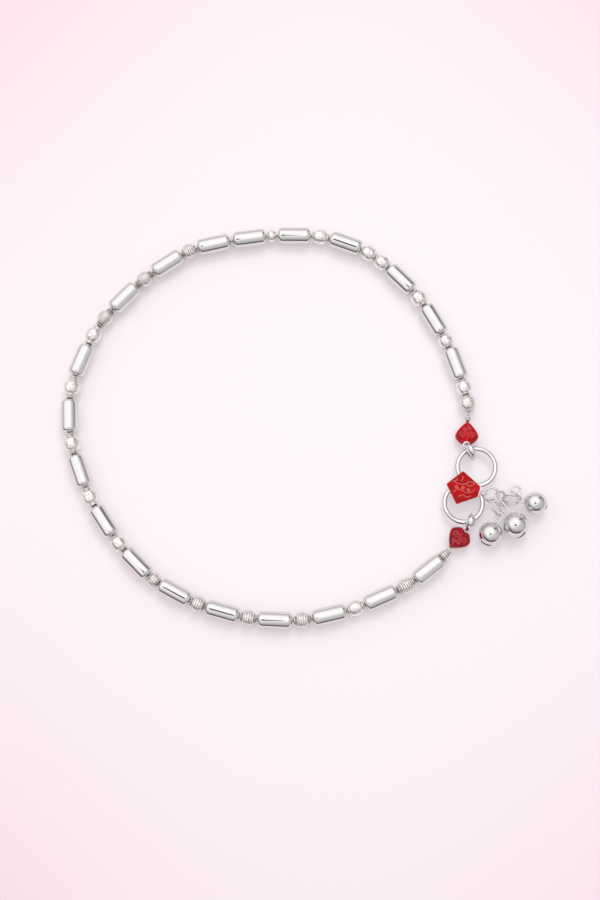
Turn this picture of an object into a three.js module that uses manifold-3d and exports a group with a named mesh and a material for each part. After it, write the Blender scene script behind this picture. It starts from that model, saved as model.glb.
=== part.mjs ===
// Payal anklet: a closed loop of polished silver tube beads and small cast spacers on one
// thread, ended by two enamelled hearts, and closed by two links, a pair of soldered rings
// with a five-sided enamelled plaque, and a cluster of three round bells.
//
// Units are millimetres, +Z is up. The anklet lies on the plane z = 0, with the plaque and
// the bells at +X, and the origin under the middle of its bounding box.

import * as THREE from "three";
import { mergeVertices } from "three/addons/utils/BufferGeometryUtils.js";
import Module from "manifold-3d";

const wasm = await Module();
wasm.setup();

// ---------------------------------------------------------------- driving dimensions

const TUBE_LENGTH = 6.73;
const TUBE_RADIUS = 1.73;
const SHOULDER = 0.85; // how far each rounded end of a tube bead reaches along it
const FACE_RADIUS = 0.9; // flat end face of a tube bead
const COLLAR_RADIUS = 0.88; // small collar at each end of a spacer bead
const BORE_RADIUS = 0.56;
const THREAD_RADIUS = 0.22;
const BEAD_GAP = 0.27;
const TUBE_SIDES = 12;
const SPACER_SIDES = 10;

const THREAD_Z = TUBE_RADIUS; // the tubes rest on the ground, so the thread is this high

const RING_RADIUS = 3.75; // centre line of each of the two soldered rings
const RING_WIRE = 0.46;
const LINK_WIRE = 0.62; // at the crown of a link, which thins towards its two ends
const LINK_END_WIRE = 0.34;
const LINK_RADIUS = 1.55;
const JUMP_WIRE = 0.25; // jump rings of the bell cluster
const LOOP_WIRE = 0.2; // finer wire of the bell loops, the eyes and the spare link

const HEART_LENGTH = 4.24; // from the tip to the notch between the lobes
const HEART_HALF = 2.28; // half the greatest width
const HEART_THICKNESS = 1.5;
const HEART_BORE = 0.45; // hole for the thread's end, drilled in at the tip
const HEART_EYE = 0.72; // centre line radius of the small eye at the notch

const PLAQUE_BASE_Z = 2.1;
const PLAQUE_FLOOR = 0.56; // thickness of the tray's floor
const PLAQUE_HEIGHT = 1.0;
const PLAQUE_RIM = 0.25;
const ENAMEL_GAP = 0.06;

const BELL_WALL = 0.3;
const BELL_SLOT = 0.55;
const SLOT_LENGTH = 0.84; // of the bell's radius
const SLOT_RAISE = 14; // degrees from the pole opposite the loop
const BELL_EYE = 0.5; // half the width of the long wire loop on a bell

// ---------------------------------------------------------------- materials

const silver = () => new THREE.MeshStandardMaterial({ color: 0xe9e9ea, roughness: 0.12, metalness: 1 });
const threadGrey = () => new THREE.MeshStandardMaterial({ color: 0xb9b6b2, roughness: 0.6, metalness: 0 });
const redEnamel = () => new THREE.MeshStandardMaterial({ color: 0xc8101c, roughness: 0.18, metalness: 0 });

// ---------------------------------------------------------------- shared shape helpers

const radians = THREE.MathUtils.degToRad;

// Only positions are kept and shared corners are merged, so that every shape is one closed body.
function closed(geometry) {
  geometry.deleteAttribute("normal");
  geometry.deleteAttribute("uv");
  return mergeVertices(geometry, 1e-4);
}

function toSolid(geometry) {
  const body = closed(geometry.clone());
  return new wasm.Manifold(new wasm.Mesh({
    numProp: 3,
    vertProperties: new Float32Array(body.attributes.position.array),
    triVerts: new Uint32Array(body.index.array),
  }));
}

function fromSolid(solid) {
  const mesh = solid.getMesh();
  const geometry = new THREE.BufferGeometry();
  geometry.setAttribute("position", new THREE.BufferAttribute(mesh.vertProperties, 3));
  geometry.setIndex(new THREE.BufferAttribute(mesh.triVerts, 1));
  return geometry;
}

const join = (...geometries) => fromSolid(geometries.map(toSolid).reduce((a, b) => a.add(b)));
const cut = (geometry, tool) => fromSolid(toSolid(geometry).subtract(toSolid(tool)));

// A turned bead lying along X. The profile runs [distance along, radius] from end to end and
// is closed along the bore. The facets are grown so that their flats, not their corners, lie
// on the true radius, and one flat faces straight down.
function turned(profile, sides) {
  const flats = 1 / Math.cos(Math.PI / sides);
  const first = profile[0][0];
  const last = profile[profile.length - 1][0];
  const outline = [[first, BORE_RADIUS], ...profile, [last, BORE_RADIUS], [first, BORE_RADIUS]];
  const points = outline.map(([along, radius]) => new THREE.Vector2(radius * flats, along));
  const bead = new THREE.LatheGeometry(points, sides, Math.PI / sides);
  return closed(bead.rotateZ(-Math.PI / 2));
}

// A ring of round wire in the XY plane. With a stretch its two halves move apart along X and
// straight sides join them; with a swell the wire grows from wire to wire + swell at +Y.
function wireRing(radius, wire, { stretch = 0, swell = 0, around = 24, sides = 8 } = {}) {
  const ring = new THREE.TorusGeometry(radius, wire, sides, around);
  const points = ring.attributes.position;
  const spot = new THREE.Vector3();
  const middle = new THREE.Vector3();
  for (let i = 0; i < points.count; i += 1) {
    spot.fromBufferAttribute(points, i);
    middle.set(spot.x, spot.y, 0).setLength(radius);
    const crown = Math.max(0, middle.y / radius) ** 1.5;
    spot.sub(middle).multiplyScalar(1 + (swell / wire) * crown).add(middle);
    const side = Math.abs(middle.x) < 1e-6 ? 0 : Math.sign(middle.x);
    points.setXYZ(i, spot.x + (side * stretch) / 2, spot.y, spot.z);
  }
  return closed(ring);
}

function named(name, geometry, material) {
  const mesh = new THREE.Mesh(geometry, material);
  mesh.name = name;
  return mesh;
}

// Puts a shape at a place: its X axis points along the heading, seen from above, and it
// leans about that axis, a ring lying flat at 0 and standing up at 90.
function place(object, [x, y, z], heading = 0, lean = 0, pitch = 0) {
  object.position.set(x, y, z);
  object.rotation.set(radians(lean), radians(pitch), radians(heading), "ZXY");
  return object;
}

// ---------------------------------------------------------------- the thread and its beads

// The thread's way round, from the upper heart to the lower one, as [x, y].
const ROUTE = [
  [33.3, 4.4], [33.7, 6.8], [33.3, 10.6], [31.4, 17.3], [29.5, 21.9], [24.2, 31.0], [15.6, 39.5],
  [9.6, 42.8], [4.3, 44.1], [-5.6, 44.3], [-13.7, 43.3], [-22.2, 41.2], [-31.3, 35.3],
  [-40.6, 25.3], [-43.8, 18.3], [-45.75, 12.9], [-46.25, 6.9], [-45.5, 1.2], [-41.7, -9.5],
  [-35.7, -18.9], [-28.7, -26.1], [-20.2, -30.8], [-10.4, -33.6], [0.2, -34.1],
  [10.6, -31.8], [20.5, -27.5], [27.5, -22.5], [29.9, -19.35],
];
const route = new THREE.CatmullRomCurve3(
  ROUTE.map(([x, y]) => new THREE.Vector3(x, y, THREAD_Z)), false, "centripetal",
);
route.arcLengthDivisions = 3000;
const routeLength = route.getLength();
const routeAt = (distance) => route.getPointAt(THREE.MathUtils.clamp(distance / routeLength, 0, 1));

// The beads in the order of the thread: [kind, length, widest radius].
const TUBE = ["tube", TUBE_LENGTH, TUBE_RADIUS];
const STRING = [
  ["knurled", 3.13, 1.72], ["ball", 3.08, 1.58], TUBE,
  ["ball", 2.83, 1.55], TUBE,
  ["ball", 3.58, 1.66], TUBE,
  ["ball", 3.08, 1.6], ["ball", 3.08, 1.6], TUBE,
  ["ball", 3.48, 1.55], TUBE,
  ["ball", 1.93, 1.32], TUBE,
  ["washer", 0.15, 1.1], TUBE,
  ["ribbed", 3.13, 1.6], TUBE,
  ["ribbed", 3.98, 1.66], TUBE,
  ["ribbed", 4.08, 1.6], ["ball", 4.08, 1.6], TUBE,
  ["ball", 4.58, 1.66], TUBE,
  ["ball", 4.23, 1.64], TUBE,
  ["ball", 4.03, 1.6], TUBE,
  ["ball", 3.38, 1.6], TUBE,
  ["ribbed", 2.28, 1.58], TUBE,
  ["ribbed", 2.83, 1.66], TUBE,
  ["ribbed", 3.13, 1.66], TUBE,
  ["ribbed", 3.43, 1.66], TUBE,
  ["ball", 3.33, 1.56], TUBE,
  ["coil", 3.73, 1.58], TUBE,
  ["cone", 1.9, 1.35],
];
const FIRST_BEAD = 3.2; // thread inside the upper heart and between it and its first bead

function tubeBead(length, radius) {
  const half = length / 2;
  const step = radius - FACE_RADIUS;
  return turned([
    [-half, FACE_RADIUS], [-half + SHOULDER * 0.3, FACE_RADIUS + step * 0.68],
    [-half + SHOULDER, radius], [half - SHOULDER, radius],
    [half - SHOULDER * 0.3, FACE_RADIUS + step * 0.68], [half, FACE_RADIUS],
  ], TUBE_SIDES);
}

// A cast ball with a short collar at each pole, where the ball is cut off.
function spacerBead(length, radius) {
  const half = length / 2;
  const reach = Math.min(half - 0.15, Math.sqrt(radius ** 2 - COLLAR_RADIUS ** 2));
  const ball = [-1, -0.55, 0, 0.55, 1].map((part) => {
    return [part * reach, Math.sqrt(radius ** 2 - (part * reach) ** 2)];
  });
  return turned([[-half, COLLAR_RADIUS], ...ball, [half, COLLAR_RADIUS]], SPACER_SIDES);
}

// A barrel wound from fine wire, with a slimmer neck at each end.
function coilBead(length, radius) {
  const half = length / 2;
  const neck = half * 0.55;
  return turned([
    [-half, COLLAR_RADIUS], [-neck, COLLAR_RADIUS + 0.1], [-neck * 0.6, radius * 0.94],
    [0, radius], [neck * 0.6, radius * 0.94], [neck, COLLAR_RADIUS + 0.1], [half, COLLAR_RADIUS],
  ], SPACER_SIDES);
}

function coneBead(length, radius) {
  const half = length / 2;
  const profile = [[-half, COLLAR_RADIUS], [-half * 0.5, radius], [half, BORE_RADIUS + 0.2]];
  return turned(profile, SPACER_SIDES);
}

function washerBead(length, radius) {
  return turned([[-length / 2, radius], [length / 2, radius]], SPACER_SIDES);
}

const SHAPES = {
  tube: tubeBead,
  ball: spacerBead,
  knurled: spacerBead,
  ribbed: spacerBead,
  coil: coilBead,
  cone: coneBead,
  washer: washerBead,
};

// Strings the beads: each lies along the chord between the two thread points at its ends.
function stringOfBeads() {
  const beads = new THREE.Group();
  const counts = {};
  let distance = FIRST_BEAD;
  for (const [kind, length, radius] of STRING) {
    counts[kind] = (counts[kind] ?? 0) + 1;
    const start = routeAt(distance);
    const end = routeAt(distance + length);
    const bead = named(`${kind}_${counts[kind]}`, SHAPES[kind](length, radius), silver());
    bead.position.lerpVectors(start, end, 0.5);
    bead.rotation.z = Math.atan2(end.y - start.y, end.x - start.x);
    beads.add(bead);
    distance += length + BEAD_GAP;
  }
  return beads;
}

function thread() {
  const section = new THREE.Shape().absarc(0, 0, THREAD_RADIUS, 0, 2 * Math.PI);
  const geometry = new THREE.ExtrudeGeometry(section, { steps: 90, curveSegments: 3, extrudePath: route });
  return named("thread", closed(geometry), threadGrey());
}

// ---------------------------------------------------------------- the hearts

// The heart's outline, tip at the origin, lobes towards +X: a long bulging side, a straight
// shoulder and a shallow notch.
function heartShape() {
  const heart = new THREE.Shape();
  heart.moveTo(0, 0);
  for (const side of [-1, 1]) {
    const half = side * HEART_HALF;
    const points = [[0, 0], [0.45, 0.97], [0.72, 1], [0.87, 0.97], [1.06, 0.47], [1.09, 0.22], [1, 0]];
    const corners = points.map(([along, out]) => [along * HEART_LENGTH, out * half]);
    if (side > 0) corners.reverse();
    for (let i = 0; i < 6; i += 2) heart.quadraticCurveTo(...corners[i + 1], ...corners[i + 2]);
  }
  return heart;
}

// A cast heart, level with the thread: its tip is drilled for the thread's end, and an eye
// for its link stands at the notch.
function heart(name, tip, heading, eyeZ) {
  const edge = 0.25;
  const body = new THREE.ExtrudeGeometry(heartShape(), {
    depth: HEART_THICKNESS - 2 * edge, curveSegments: 4,
    bevelThickness: edge, bevelSize: edge, bevelOffset: -edge, bevelSegments: 1,
  });
  body.translate(0, 0, edge - HEART_THICKNESS / 2);
  const eye = wireRing(HEART_EYE, LOOP_WIRE, { around: 16, sides: 6 });
  eye.translate(HEART_LENGTH + HEART_EYE, 0, eyeZ - tip[2]);
  const hole = new THREE.CylinderGeometry(HEART_BORE, HEART_BORE, 3, 8).rotateZ(Math.PI / 2);
  return place(named(name, cut(join(body, eye), hole), redEnamel()), tip, heading);
}

// ---------------------------------------------------------------- rings, plaque and links

const RINGS = [[34.95, -3.85, 1.93, -3], [32.27, -11.05, THREAD_Z, 0]]; // x, y, z and tilt about X
const PLAQUE = [[32.18, -4.76], [35.7, -7.95], [35.1, -10.1], [30.7, -11.53], [28.77, -7.4]];
const EYE = [36.1, -9.35, 2.6];

function plaqueSlab(inset, bottom, top) {
  const middle = PLAQUE.reduce(([a, b], [x, y]) => [a + x / 5, b + y / 5], [0, 0]);
  const corners = PLAQUE.map(([x, y]) => {
    const arm = new THREE.Vector2(x - middle[0], y - middle[1]);
    arm.setLength(arm.length() - inset);
    return new THREE.Vector2(middle[0] + arm.x, middle[1] + arm.y);
  });
  const depth = top - bottom;
  const slab = new THREE.ExtrudeGeometry(new THREE.Shape(corners), { depth, bevelEnabled: false });
  return slab.translate(0, 0, bottom);
}

// The two rings, the plaque's tray and the eye beside it are soldered, so they are one solid.
function doubleRing() {
  const rings = RINGS.map(([x, y, z, tilt]) => {
    const ring = wireRing(RING_RADIUS, RING_WIRE, { around: 32 });
    return ring.rotateX(radians(tilt)).translate(x, y, z);
  });
  const top = PLAQUE_BASE_Z + PLAQUE_HEIGHT;
  const tray = cut(
    plaqueSlab(0, PLAQUE_BASE_Z, top),
    plaqueSlab(PLAQUE_RIM, PLAQUE_BASE_Z + PLAQUE_FLOOR, top + 1),
  );
  const eye = wireRing(0.66, LOOP_WIRE, { around: 14, sides: 6 }).rotateX(Math.PI / 2).translate(...EYE);
  const stem = new THREE.CylinderGeometry(0.2, 0.2, 0.3, 8).rotateZ(Math.PI / 2);
  stem.translate(EYE[0] - 0.83, EYE[1], EYE[2]);
  return named("double_ring", join(...rings, tray, eye, stem), silver());
}

function plaqueEnamel() {
  const bottom = PLAQUE_BASE_Z + PLAQUE_FLOOR + ENAMEL_GAP;
  const slab = plaqueSlab(PLAQUE_RIM + 0.1, bottom, PLAQUE_BASE_Z + PLAQUE_HEIGHT);
  return named("plaque_enamel", closed(slab), redEnamel());
}

// A link stands on edge round a ring's wire and a heart's eye.
function link(name, centre, heading, lean) {
  const swell = LINK_WIRE - LINK_END_WIRE;
  const ring = wireRing(LINK_RADIUS, LINK_END_WIRE, { swell, around: 20 });
  return place(named(name, ring, silver()), centre, heading, lean);
}

// ---------------------------------------------------------------- the bell cluster

function jumpRing(name, radius, centre, heading, lean, wire = JUMP_WIRE) {
  const ring = wireRing(radius, wire, { around: 24, sides: 6 });
  return place(named(name, ring, silver()), centre, heading, lean);
}

// A hollow bell along X: its soldered wire loop points to +X and its slot is at the far pole.
function bell(name, radius, loop, [x, y], heading, roll = 0, pitch = 0) {
  const ball = new THREE.SphereGeometry(radius, 14, 8).rotateZ(-Math.PI / 2);
  const hollow = new THREE.SphereGeometry(radius - BELL_WALL, 10, 6).rotateZ(-Math.PI / 2);
  const slot = new THREE.BoxGeometry(radius, radius * SLOT_LENGTH, BELL_SLOT).translate(-radius, 0, 0);
  slot.rotateY(radians(SLOT_RAISE));
  const eye = wireRing(BELL_EYE, LOOP_WIRE, { stretch: loop, around: 16, sides: 6 });
  eye.translate(radius + loop / 2 + 0.3, 0, 0);
  const shell = cut(cut(ball, hollow), slot);
  const body = fromSolid(toSolid(shell).add(toSolid(eye).subtract(toSolid(hollow))));
  return place(named(name, body, silver()), [x, y, radius], heading, roll, pitch);
}

// ---------------------------------------------------------------- assembly

const anklet = new THREE.Group();
anklet.add(
  thread(),
  stringOfBeads(),
  heart("heart_upper", [33.4, 5.4, THREAD_Z], -94, 2.4),
  heart("heart_lower", [29.35, -19.9, THREAD_Z], 46, THREAD_Z),
  link("link_upper", [33.7, -0.85, 2.06], -65, 84),
  link("link_lower", [33.23, -14.84, 2.06], -106, 84),
  doubleRing(),
  plaqueEnamel(),
  jumpRing("jump_ring", 1.43, [37.7, -9.51, 2.66], -13.31, 27.57),
  jumpRing("cluster_ring", 1.45, [39.77, -10.16, 2.07], 109.41, 32.85),
  jumpRing("bell_ring_1", 1.86, [38.42, -11.93, 2.55], -61.84, 121.08),
  jumpRing("bell_ring_2", 1.7, [41.72, -10.32, 2.24], -3.82, 63.64),
  jumpRing("spare_link", 1.08, [41.18, -9.2, 1.58], 16.44, 86.62, LOOP_WIRE),
  jumpRing("spare_ring", 1, [42.57, -8.57, 1.64], 1.56, 5.88),
  bell("bell_1", 2.4, 1.6, [37.34, -17.34], 62.16, -8.43, -2.39),
  bell("bell_2", 2.55, 2, [42.35, -15.6], 123.88, -34.42, 3.86),
  bell("bell_3", 2.3, 0.6, [46.47, -11.16], 166.02, 15.41, 0.19),
);

// The origin goes under the middle of the whole piece, at the ground.
anklet.updateMatrixWorld(true);
const box = new THREE.Box3().setFromObject(anklet, true);
const centre = box.getCenter(new THREE.Vector3());
anklet.position.set(-centre.x, -centre.y, -box.min.z);

export default anklet;
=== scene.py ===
# %% [markdown]
# # A payal anklet in silver and red enamel
# A payal is an anklet with bells. This one is a thread of polished silver tubes with small
# cast spacers between them. Two enamelled hearts end the thread, and a clasp of soldered
# rings carries a five-sided enamelled plaque and a cluster of three round bells.
#
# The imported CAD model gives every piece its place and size. A faceted solid reads as glass
# under studio light, so each piece is made again here as a smooth, finely divided skin that
# stands in the same place. Sizes are in metres, and MM turns millimetres into metres.

import math

import bpy
import numpy as np
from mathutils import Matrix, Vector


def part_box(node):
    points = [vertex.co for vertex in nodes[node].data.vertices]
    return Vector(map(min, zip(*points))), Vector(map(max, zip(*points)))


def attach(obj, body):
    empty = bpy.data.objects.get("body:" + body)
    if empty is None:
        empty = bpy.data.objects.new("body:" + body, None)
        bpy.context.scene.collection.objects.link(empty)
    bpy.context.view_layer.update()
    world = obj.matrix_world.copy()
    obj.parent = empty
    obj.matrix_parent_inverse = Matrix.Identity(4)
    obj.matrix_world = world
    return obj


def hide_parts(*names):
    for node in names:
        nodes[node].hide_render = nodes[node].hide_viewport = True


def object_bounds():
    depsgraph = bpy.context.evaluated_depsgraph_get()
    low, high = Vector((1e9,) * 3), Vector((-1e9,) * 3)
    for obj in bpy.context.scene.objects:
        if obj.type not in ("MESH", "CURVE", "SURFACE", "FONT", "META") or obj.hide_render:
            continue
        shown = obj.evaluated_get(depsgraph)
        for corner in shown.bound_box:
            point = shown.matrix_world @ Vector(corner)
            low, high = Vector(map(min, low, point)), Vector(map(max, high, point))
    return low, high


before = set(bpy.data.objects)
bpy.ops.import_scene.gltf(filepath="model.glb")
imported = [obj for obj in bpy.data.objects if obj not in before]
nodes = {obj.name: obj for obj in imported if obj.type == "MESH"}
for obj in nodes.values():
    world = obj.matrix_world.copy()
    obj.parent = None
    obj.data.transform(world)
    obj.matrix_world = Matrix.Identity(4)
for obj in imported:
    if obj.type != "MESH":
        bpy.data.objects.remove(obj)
bounds_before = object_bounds()
MM = 0.001
TURN = 2 * math.pi
print(len(nodes), "CAD pieces")

# %% [markdown]
# ## Reading the CAD pieces
# Every piece is placed from its CAD node: the middle of its box, or the way its points
# spread out. The direction in which a cloud of points spreads most is the first axis that
# an eigenvalue sum gives, and the direction in which it spreads least is the last. A tube
# is longest along its bore, and a flat ring is thinnest across its plane.

# %% Places and directions
UP = np.array([0.0, 0.0, 1.0])


def points_of(node):
    """The corners of a CAD node, one row [x, y, z] for each."""
    mesh = nodes[node].data
    flat = np.zeros(len(mesh.vertices) * 3)
    mesh.vertices.foreach_get("co", flat)
    return np.unique(flat.reshape(-1, 3).round(7), axis=0)


def box_middle(node):
    low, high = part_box(node)
    return (np.array(low) + np.array(high)) / 2


def unit(vector):
    return vector / np.linalg.norm(vector)


def spread_axes(points):
    """Three unit vectors, from the direction in which the points spread most to the least."""
    _, vectors = np.linalg.eigh(np.cov((points - points.mean(0)).T))
    return vectors.T[::-1]


def axes_along(direction):
    """A matrix whose columns are a level direction, the level direction to its left, and up."""
    along = unit(np.array([direction[0], direction[1], 0.0]))
    return np.column_stack([along, np.cross(UP, along), UP])


# %% [markdown]
# ## One way to make every skin
# Nearly every piece here is a grid of points bent into shape: one direction runs along the
# piece and the other runs round it. A grid that closes both ways is a ring. One that closes
# only round itself is a rod, and a fan of triangles shuts each of its ends. numpy works out
# all points at once, which is quicker and easier to read than placing them one by one.

# %% The skin maker
def faces_of_grid(rows, columns, is_ring):
    """Quads joining point (i, j) to its neighbours (i + 1, j) and (i, j + 1)."""
    index = np.arange(rows * columns).reshape(rows, columns)
    here = index if is_ring else index[:-1]
    ahead = np.roll(index, -1, 0) if is_ring else index[1:]
    corners = [here, np.roll(here, -1, 1), np.roll(ahead, -1, 1), ahead]
    return np.stack(corners, -1).reshape(-1, 4)


def volume_sign(points, faces):
    """The sign of the volume inside quads, which is plus when they face outwards."""
    a, b, c, d = (points[faces[:, k]] for k in range(4))
    return np.sign(np.sum(np.cross(c - a, d - b) * (a + b + c + d)))


def skin(grids, is_ring=False):
    """One closed skin for each grid [i, j, xyz], returned together as (points, faces)."""
    all_points, all_faces, start = [], [], 0
    for grid in grids:
        rows, columns = grid.shape[:2]
        points = grid.reshape(-1, 3)
        quads = faces_of_grid(rows, columns, is_ring)
        flip = volume_sign(points, quads) < 0
        faces = quads.tolist()
        if not is_ring:
            points = np.vstack([points, grid[0].mean(0), grid[-1].mean(0)])
            first = np.arange(columns)
            last = first + (rows - 1) * columns
            tip = rows * columns
            faces += [[tip, b, a] for a, b in zip(first, np.roll(first, -1))]
            faces += [[tip + 1, a, b] for a, b in zip(last, np.roll(last, -1))]
        if flip:
            faces = [face[::-1] for face in faces]
        all_points.append(points)
        all_faces += [[corner + start for corner in face] for face in faces]
        start += len(points)
    return np.vstack(all_points), all_faces


def piece(name, points, faces, material, *stands_for, marks=None):
    """A smooth object from points in the row frame, which stands for those CAD nodes."""
    mesh = bpy.data.meshes.new(name)
    mesh.from_pydata(points.tolist(), [], [list(map(int, face)) for face in faces])
    mesh.shade_smooth()
    for title, values in (marks or {}).items():
        mesh.attributes.new(title, "FLOAT", "POINT").data.foreach_set("value", values)
    mesh.materials.append(material)
    made = bpy.data.objects.new(name, mesh)
    bpy.context.scene.collection.objects.link(made)
    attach(made, "root")
    if stands_for:
        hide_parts(*stands_for)
    return made


# %% [markdown]
# ## Writing materials as sums
# A material is a web of nodes. Wiring each one by hand hides the idea, so a small class
# wraps a socket and lets ordinary arithmetic make the Math nodes: a + b wires an Add node,
# and 1 - a a Subtract node. One more method adds any other kind of node.

# %% The socket class
class Wire:
    """A value on its way through a material's nodes, which can be added and multiplied."""

    def __init__(self, tree, socket):
        self.tree = tree
        self.socket = socket

    def node(self, kind, inputs, output=0, **settings):
        """Any node: inputs names or numbers its sockets, and settings are its properties."""
        made = self.tree.nodes.new(kind)
        for key, value in settings.items():
            setattr(made, key, value)
        for key, value in inputs.items():
            if isinstance(value, Wire):
                self.tree.links.new(value.socket, made.inputs[key])
            else:
                made.inputs[key].default_value = value
        return Wire(self.tree, made.outputs[output])

    def math(self, operation, *values):
        settings = {"operation": operation}
        return self.node("ShaderNodeMath", dict(enumerate(values)), **settings)

    def __add__(self, other):
        return self.math("ADD", self, other)

    def __radd__(self, other):
        return self.math("ADD", other, self)

    def __sub__(self, other):
        return self.math("SUBTRACT", self, other)

    def __rsub__(self, other):
        return self.math("SUBTRACT", other, self)

    def __mul__(self, other):
        return self.math("MULTIPLY", self, other)

    def __rmul__(self, other):
        return self.math("MULTIPLY", other, self)

    def __truediv__(self, other):
        return self.math("DIVIDE", self, other)

    def __pow__(self, other):
        return self.math("POWER", self, other)

    def clamped(self):
        return self.node("ShaderNodeClamp", {"Value": self})

    def noise(self, scale, detail=3.0):
        """Cloudy values from 0 to 1 at that many clouds to the metre, when self is a place."""
        inputs = {"Vector": self, "Scale": scale, "Detail": detail}
        return self.node("ShaderNodeTexNoise", inputs)

    def blend(self, dark, light):
        """The colour dark where self is 0 and light where it is 1."""
        inputs = {0: self, 6: dark, 7: light}
        return self.node("ShaderNodeMix", inputs, output=2, data_type="RGBA")


def new_material(name, record_slot):
    """An empty material, with its shader and a wire that carries the place on the piece."""
    material = bpy.data.materials.new(name)
    material.use_nodes = True
    material["record_slot"] = record_slot
    tree = material.node_tree
    shader = tree.nodes["Principled BSDF"]
    place = Wire(tree, tree.nodes.new("ShaderNodeTexCoord").outputs["Object"])
    return material, shader, place


def plug(wire, shader, socket):
    wire.tree.links.new(wire.socket, shader.inputs[socket])


def attribute(wire, title):
    """The number that a mesh carries at each of its points under that title."""
    return wire.node("ShaderNodeAttribute", {}, output="Fac", attribute_name=title)


# %% [markdown]
# ## The finishes
# Polished silver is a mirror that is never quite perfect. Its roughness wanders a little,
# and very fine handling marks break up the highlights. Cast silver is the same metal with a
# softer shine, and its hollows hold a grey tarnish that no cloth can reach. A value on each
# point of the mesh darkens it: tarnish in the grooves of the spacers and the whipping, and
# painted shade on the flanks of the wire rings, which stands in for the dark reflections at
# their edges. The red is translucent enamel fired over engraved metal: deep red glass with a
# hard gloss, and paler where the engraving stands up under it.

# %% Silver
# The dark grey of tarnish in hollows, which also paints shade on the flanks of the wire rings.
TARNISH_AND_SHADE_GREY = (0.15, 0.12, 0.11, 1)


def silver_material(name, bright, roughness, tarnish_and_shade_strength, dents, depth=0.04 * MM, pits=0.0):
    """Silver of that colour, darkened in its pits and by a value on its points: tarnish in its
    hollows, painted shade on the flanks of wire rings. It has dents of that strength and depth,
    and its brightness wanders a little, as cloud does."""
    material, shader, place = new_material(name, "polished_silver")
    cloud = place.noise(900.0)
    marks = place.noise(2600.0, 2.0)
    # Tarnish in hollows and painted shade on the flanks of wire rings, both read from the mesh.
    hollow = attribute(place, "hollow") * tarnish_and_shade_strength
    pitted = ((marks - 0.52) * 5).clamped() * pits
    grey = (hollow + pitted + cloud * 0.06).clamped()
    plug(grey.blend(bright, TARNISH_AND_SHADE_GREY), shader, "Base Color")
    plug(hollow * 0.20 + cloud * 0.04 + roughness, shader, "Roughness")
    bump = {"Strength": dents, "Distance": depth, "Height": marks}
    plug(place.node("ShaderNodeBump", bump), shader, "Normal")
    shader.inputs["Metallic"].default_value = 1.0
    return material


polished = silver_material("polished_silver", (0.765, 0.747, 0.746, 1), 0.035, 0.6, 0.04)
cast = silver_material("cast_silver", (0.94, 0.895, 0.885, 1), 0.13, 0.95, 1.0, 0.10 * MM, 0.34)
drawn = silver_material("drawn_silver", (0.92, 0.89, 0.885, 1), 0.07, 0.9, 0.05)

# %% Red enamel and thread
def enamel_material(name, deep, bright, line):
    """Enamel that wanders between a deep and a bright red as its thickness does, with lines of
    a third red where it is engraved."""
    material, shader, place = new_material(name, "red_enamel")
    cloud = place.noise(1400.0)
    thick = ((place.noise(750.0, 2.0) - 0.5) * 2.6 + 0.5).clamped()
    engraved = attribute(place, "engraved")
    glass = thick.blend(deep, bright)
    plug(engraved.clamped().blend(glass, line), shader, "Base Color")
    plug(0.16 + cloud * 0.10, shader, "Roughness")
    bump = {"Strength": 0.10, "Distance": 0.04 * MM, "Height": cloud}
    plug(place.node("ShaderNodeBump", bump), shader, "Normal")
    shader.inputs["Specular IOR Level"].default_value = 0.10
    shader.inputs["Coat Weight"].default_value = 0.05
    shader.inputs["Coat Roughness"].default_value = 0.10
    return material


PALE_LINE = (0.66, 0.16, 0.15, 1)
ROSE_LINE = (0.58, 0.09, 0.10, 1)
DEEP_RED = (0.30, 0.001, 0.003, 1)
WINE_RED = (0.16, 0.002, 0.008, 1)
plaque_red = enamel_material("plaque_red_enamel", DEEP_RED, (0.53, 0.002, 0.006, 1), PALE_LINE)
upper_red = enamel_material("upper_heart_red", DEEP_RED, (0.54, 0.001, 0.004, 1), ROSE_LINE)
lower_red = enamel_material("lower_heart_red", WINE_RED, (0.38, 0.004, 0.013, 1), ROSE_LINE)

thread_grey, thread_shader, thread_place = new_material("braided_thread", "thread")
fuzz = thread_place.noise(6000.0)
plug(fuzz.blend((0.55, 0.53, 0.50, 1), (0.86, 0.84, 0.82, 1)), thread_shader, "Base Color")
plug(0.45 + fuzz * 0.25, thread_shader, "Roughness")

# %% [markdown]
# ## Turned beads
# A bead is a profile spun round its bore. The profile is a list of stations, each with a
# distance along the bore and a radius, and it closes on itself through the bore, so that a
# bead is a ring with a hole and needs no caps. Where the metal is ribbed, knurled or wound
# from wire, the radius also rises and falls with the distance and with the angle round.

# %% Spinning a profile
BORE = 0.5 * MM


def spin(along, radius, sides):
    """P(i, a) = (x_i, r_i cos a, r_i sin a), where r_i may itself change with a."""
    angle = np.arange(sides) / sides * TURN
    radius = radius if radius.ndim == 2 else radius[:, None] * np.ones(sides)
    across, upward = radius * np.cos(angle), radius * np.sin(angle)
    return np.stack([along[:, None] * np.ones(sides), across, upward], -1)


def with_bore(along, radius, sides, ripple=0.0):
    """The spun outside, its ripple added, closed on itself through the bore."""
    outside = radius[:, None] + np.zeros(sides) + ripple
    nick = 0.03 * MM
    back = np.array([along[-1], along[-1] - nick, along[0] + nick, along[0]])
    inner = np.array([BORE + nick, BORE, BORE, BORE + nick])[:, None] + np.zeros(sides)
    return spin(np.r_[along, back], np.vstack([outside, inner]), sides)


def quarter(start, end, count=12):
    """Stations on a quarter ellipse that leaves start square on and arrives level at end."""
    t = np.linspace(0, math.pi / 2, count)
    along = start[0] + (end[0] - start[0]) * (1 - np.cos(t))
    return along, start[1] + (end[1] - start[1]) * np.sin(t)


# %% [markdown]
# The beads follow one another round the loop, so their angle about the loop's middle puts
# them in order. A tube's own points show which way it lies. A spacer is nearly as wide as
# it is long, so it takes its direction from the beads on both sides of it.

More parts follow.
